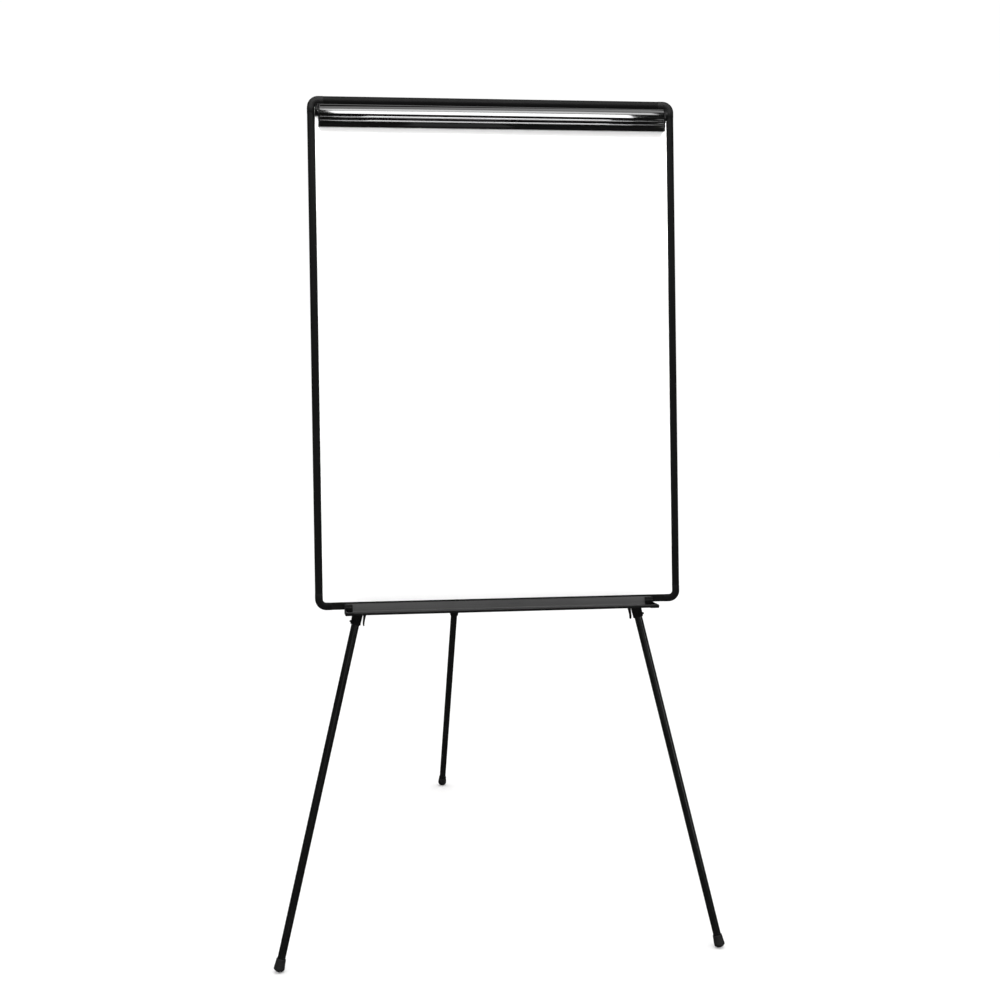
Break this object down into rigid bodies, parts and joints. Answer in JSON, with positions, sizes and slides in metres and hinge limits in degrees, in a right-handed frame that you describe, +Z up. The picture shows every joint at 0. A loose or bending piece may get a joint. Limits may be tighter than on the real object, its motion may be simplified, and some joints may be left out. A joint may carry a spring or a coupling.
{
  "type": "flipchart easel",
  "caption": "Folding tripod easel with a framed white dry-erase board, a rocking pad retainer, a marker tray and telescopic legs with lever locks.",
  "frame": {"origin": "on the floor, under the middle of the open easel as seen from above", "axes": "+Z up, +X to the right of someone facing the board, -Y out of the board towards that person"},
  "size_m": [0.9242, 1.2288, 1.726],
  "materials": {
    "frame_black": "extruded bar, satin black powder coat",
    "tray_black": "extruded, satin black anodised",
    "tube_black": "steel tube, semi-gloss black enamel",
    "plastic_black": "moulded, fine matt grain, black",
    "retainer_black": "extruded, high-gloss black",
    "board_white": "smooth white dry-erase coating",
    "hardboard_brown": "bare pressed hardboard back",
    "rubber_black": "moulded rubber, matt",
    "zinc_steel": "bright zinc-plated fasteners",
    "spring_steel": "blued spring strip"
  },
  "bodies": {
    "board": {"top_rail": "frame_black", "bottom_rail": "frame_black", "left_rail": "frame_black", "right_rail": "frame_black", "top_left_corner": "plastic_black", "top_right_corner": "plastic_black", "bottom_left_corner": "plastic_black", "bottom_right_corner": "plastic_black", "dry_erase_panel": "board_white", "backing_sheet": "hardboard_brown", "marker_tray": "tray_black", "left_tray_end_cap": "plastic_black", "right_tray_end_cap": "plastic_black", "left_tray_screw": "zinc_steel", "right_tray_screw": "zinc_steel", "hub_bracket": "plastic_black", "left_hub_screw": "zinc_steel", "right_hub_screw": "zinc_steel", "left_leg_pivot_bolt": "zinc_steel", "right_leg_pivot_bolt": "zinc_steel", "rear_leg_pivot_bolt": "zinc_steel", "keeper_bar": "tube_black", "left_keeper_screw": "zinc_steel", "right_keeper_screw": "zinc_steel", "left_retainer_bracket": "plastic_black", "right_retainer_bracket": "plastic_black", "left_retainer_pin": "zinc_steel", "right_retainer_pin": "zinc_steel", "left_retainer_spring": "spring_steel", "right_retainer_spring": "spring_steel"},
    "pad_retainer": {"retainer_bar": "retainer_black", "left_retainer_end_cap": "plastic_black", "right_retainer_end_cap": "plastic_black"},
    "left_leg_upper": {"left_leg_top_plug": "plastic_black", "left_leg_upper_tube": "tube_black", "left_leg_lock_collar": "plastic_black", "left_leg_lever_pin": "zinc_steel"},
    "left_leg_lower": {"left_leg_lower_tube": "tube_black", "left_leg_slide_bush": "plastic_black", "left_leg_foot": "rubber_black"},
    "left_leg_lever": {"left_leg_lock_lever": "plastic_black"},
    "right_leg_upper": {"right_leg_top_plug": "plastic_black", "right_leg_upper_tube": "tube_black", "right_leg_lock_collar": "plastic_black", "right_leg_lever_pin": "zinc_steel"},
    "right_leg_lower": {"right_leg_lower_tube": "tube_black", "right_leg_slide_bush": "plastic_black", "right_leg_foot": "rubber_black"},
    "right_leg_lever": {"right_leg_lock_lever": "plastic_black"},
    "rear_leg_upper": {"rear_leg_top_plug": "plastic_black", "rear_leg_upper_tube": "tube_black", "rear_leg_lock_collar": "plastic_black", "rear_leg_lever_pin": "zinc_steel"},
    "rear_leg_lower": {"rear_leg_lower_tube": "tube_black", "rear_leg_slide_bush": "plastic_black", "rear_leg_foot": "rubber_black"},
    "rear_leg_lever": {"rear_leg_lock_lever": "plastic_black"}
  },
  "joints": [
    {"name": "retainer_rock", "type": "hinge", "parent": "board", "child": "pad_retainer", "pos_m": [0, -0.45762, 1.69487], "axis": [-1, 0, 0], "range_deg": [0, 13], "stiffness_Nm_per_rad": 1.5, "springref_deg": -11.46, "deforming": ["left_retainer_spring", "right_retainer_spring"]},
    {"name": "left_leg_fold", "type": "hinge", "parent": "board", "child": "left_leg_upper", "pos_m": [-0.0461, -0.41913, 1.69741], "axis": [0, -0.9944, 0.1057], "range_deg": [0, 13.4]},
    {"name": "right_leg_fold", "type": "hinge", "parent": "board", "child": "right_leg_upper", "pos_m": [0.0461, -0.41913, 1.69741], "axis": [0, 0.9944, -0.1057], "range_deg": [0, 13.4]},
    {"name": "rear_leg_fold", "type": "hinge", "parent": "board", "child": "rear_leg_upper", "pos_m": [0, -0.39097, 1.69743], "axis": [-1, 0, 0], "range_deg": [0, 36.5]},
    {"name": "left_leg_extend", "type": "slide", "parent": "left_leg_upper", "child": "left_leg_lower", "axis": [-0.2317, -0.1029, -0.9673], "range_m": [-0.67, 0.24]},
    {"name": "right_leg_extend", "type": "slide", "parent": "right_leg_upper", "child": "right_leg_lower", "axis": [0.2317, -0.1029, -0.9673], "range_m": [-0.67, 0.24]},
    {"name": "rear_leg_extend", "type": "slide", "parent": "rear_leg_upper", "child": "rear_leg_lower", "axis": [0, 0.5075, -0.8616], "range_m": [-0.585, 0.3]},
    {"name": "left_leg_lever_flip", "type": "hinge", "parent": "left_leg_upper", "child": "left_leg_lever", "pos_m": [-0.26916, -0.52439, 0.70759], "axis": [0, -0.9944, 0.1057], "range_deg": [0, 90]},
    {"name": "right_leg_lever_flip", "type": "hinge", "parent": "right_leg_upper", "child": "right_leg_lever", "pos_m": [0.26916, -0.52439, 0.70759], "axis": [0, 0.9944, -0.1057], "range_deg": [0, 90]},
    {"name": "rear_leg_lever_flip", "type": "hinge", "parent": "rear_leg_upper", "child": "rear_leg_lever", "pos_m": [0, 0.28977, 0.56876], "axis": [1, 0, 0], "range_deg": [0, 90]}
  ]
}
